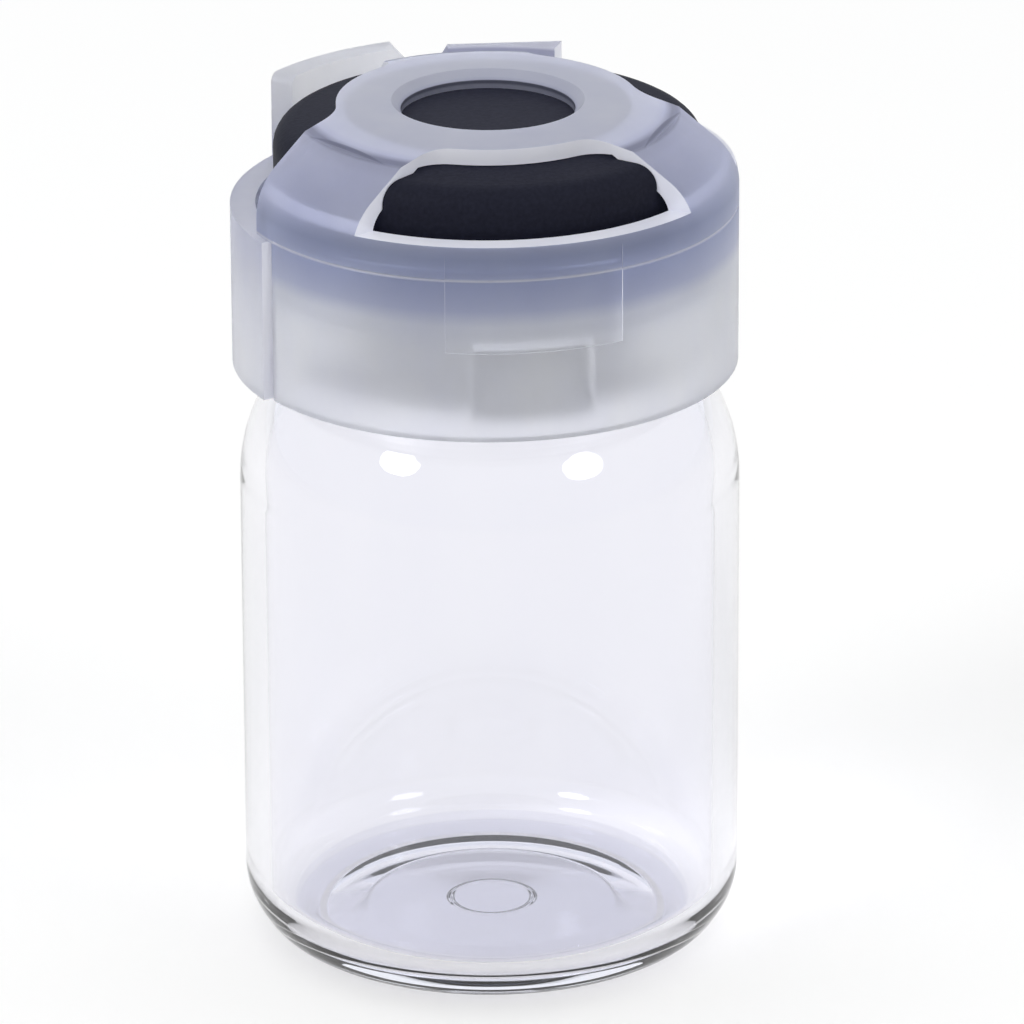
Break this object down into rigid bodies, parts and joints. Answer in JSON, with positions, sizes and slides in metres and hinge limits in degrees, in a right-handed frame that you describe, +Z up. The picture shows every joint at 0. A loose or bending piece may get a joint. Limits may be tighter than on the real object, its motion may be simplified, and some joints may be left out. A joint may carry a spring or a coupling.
{
  "type": "serum vial",
  "caption": "Small clear glass serum vial with a rubber stopper and a frosted tear cap whose crown has windows and a round needle port.",
  "frame": {"origin": "centre of the base, on the surface that the vial stands on", "axes": "+Z up along the vial's axis, -Y towards the front, where the picture was taken from"},
  "size_m": [0.0223, 0.0223, 0.0388],
  "materials": {
    "clear_glass": "clear and polished",
    "grey_rubber": "smooth matt",
    "frosted_plastic": "frosted and translucent"
  },
  "bodies": {
    "root": {"glass_vial": "clear_glass", "rubber_stopper": "grey_rubber", "snap_cap": "frosted_plastic"}
  },
  "joints": []
}
